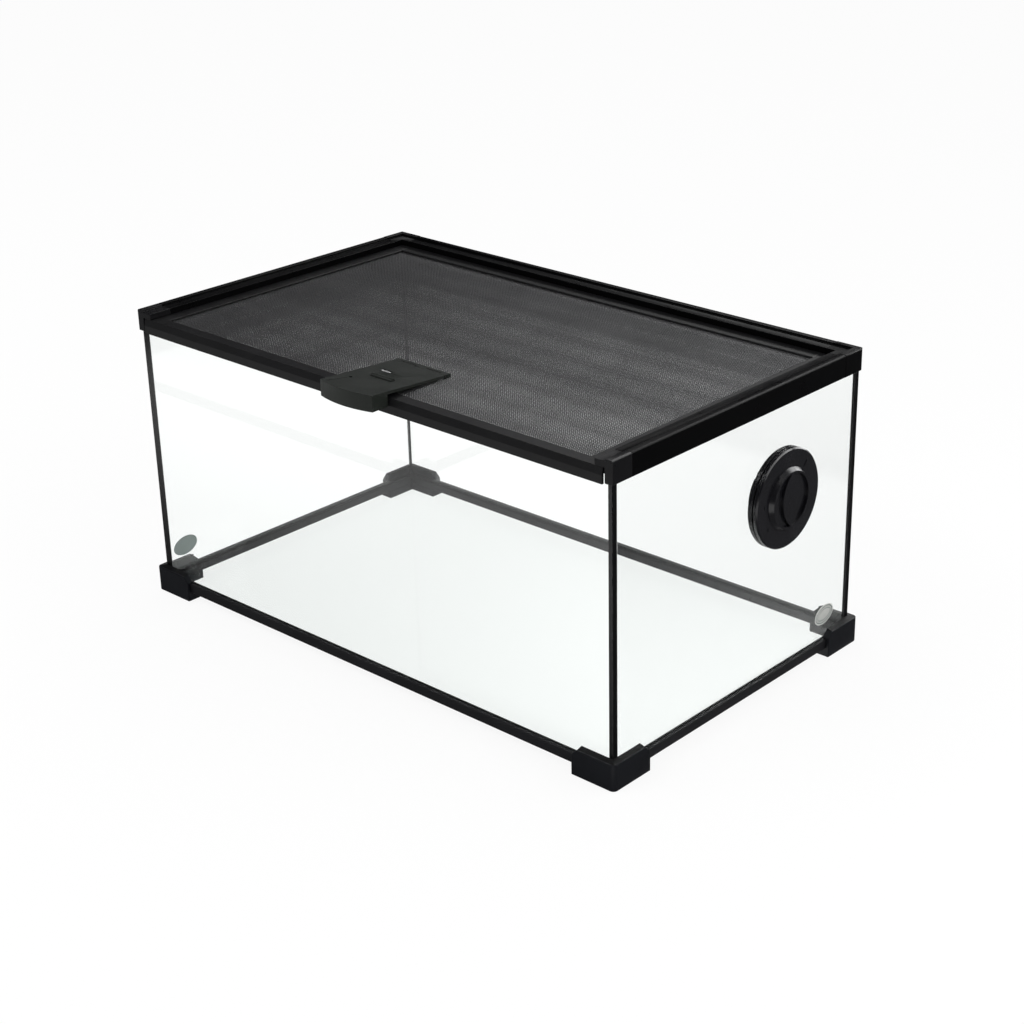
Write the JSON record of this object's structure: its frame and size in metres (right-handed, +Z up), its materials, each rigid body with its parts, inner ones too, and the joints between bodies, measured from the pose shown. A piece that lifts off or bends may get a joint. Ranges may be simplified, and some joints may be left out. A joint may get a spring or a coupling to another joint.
{
  "type": "reptile terrarium",
  "caption": "Glass terrarium in dark plastic rails and corner feet, with a sliding mesh lid held by a push latch and a round capped port in one end pane.",
  "frame": {"origin": "on the standing plane, midway between the four feet", "axes": "+X along the length, towards the end pane with the port; -Y towards the open front of the rim, where the lid slides out; +Z up"},
  "size_m": [0.3126, 0.1939, 0.1516],
  "materials": {
    "glass": "clear",
    "silicone": "satin",
    "rail_plastic": "satin",
    "foot_plastic": "satin",
    "rim_plastic": "satin",
    "lid_plastic": "satin",
    "mesh_metal": "woven, painted black",
    "seal_rubber": "matte",
    "latch_plastic": "semi-gloss",
    "steel": "bright",
    "port_plastic": "semi-gloss",
    "sticker_film": "silvery film"
  },
  "bodies": {
    "tank": {"glass_front": "glass", "glass_back": "glass", "glass_left": "glass", "glass_right": "glass", "glass_floor": "glass", "foot_seals": "silicone", "bottom_rail_front": "rail_plastic", "bottom_rail_back": "rail_plastic", "bottom_rail_left": "rail_plastic", "bottom_rail_right": "rail_plastic", "foot_front_left": "foot_plastic", "foot_front_right": "foot_plastic", "foot_rear_left": "foot_plastic", "foot_rear_right": "foot_plastic", "top_rail_left": "rim_plastic", "top_rail_right": "rim_plastic", "top_rail_back": "rim_plastic", "rim_corner_left": "rim_plastic", "rim_corner_right": "rim_plastic", "end_cap_left": "rim_plastic", "end_cap_right": "rim_plastic", "sticker_left": "sticker_film", "sticker_right": "sticker_film", "corner_seals": "silicone", "floor_seal": "silicone", "port_gasket": "seal_rubber", "port_base": "port_plastic", "port_nut": "port_plastic"},
    "lid": {"lid_front_bar": "lid_plastic", "lid_back_bar": "lid_plastic", "lid_bar_left": "lid_plastic", "lid_bar_right": "lid_plastic", "lid_joint_keys": "lid_plastic", "lid_mesh": "mesh_metal", "mesh_spline": "seal_rubber", "latch_base": "latch_plastic", "latch_backer": "latch_plastic", "latch_pin": "steel", "latch_rivets": "steel", "bar_rivets": "steel"},
    "latch": {"latch_lever": "latch_plastic", "latch_stud": "steel"},
    "cap": {"port_cap": "port_plastic", "cap_seal": "seal_rubber"},
    "knob": {"port_knob": "port_plastic", "knob_lug_bar": "port_plastic", "knob_screw": "steel"}
  },
  "joints": [
    {"name": "lid_slide", "type": "slide", "parent": "tank", "child": "lid", "axis": [0, -1, 0], "range_m": [0, 0.185]},
    {"name": "latch_press", "type": "hinge", "parent": "lid", "child": "latch", "pos_m": [0.0078, -0.054, 0.1474], "axis": [1, 0, 0], "range_deg": [0, 2.5]},
    {"name": "cap_pull", "type": "slide", "parent": "tank", "child": "cap", "axis": [1, 0, 0], "range_m": [0, 0.03]},
    {"name": "knob_turn", "type": "hinge", "parent": "cap", "child": "knob", "pos_m": [0.15, 0.0271, 0.0975], "axis": [-1, 0, 0], "range_deg": [0, 42]}
  ]
}
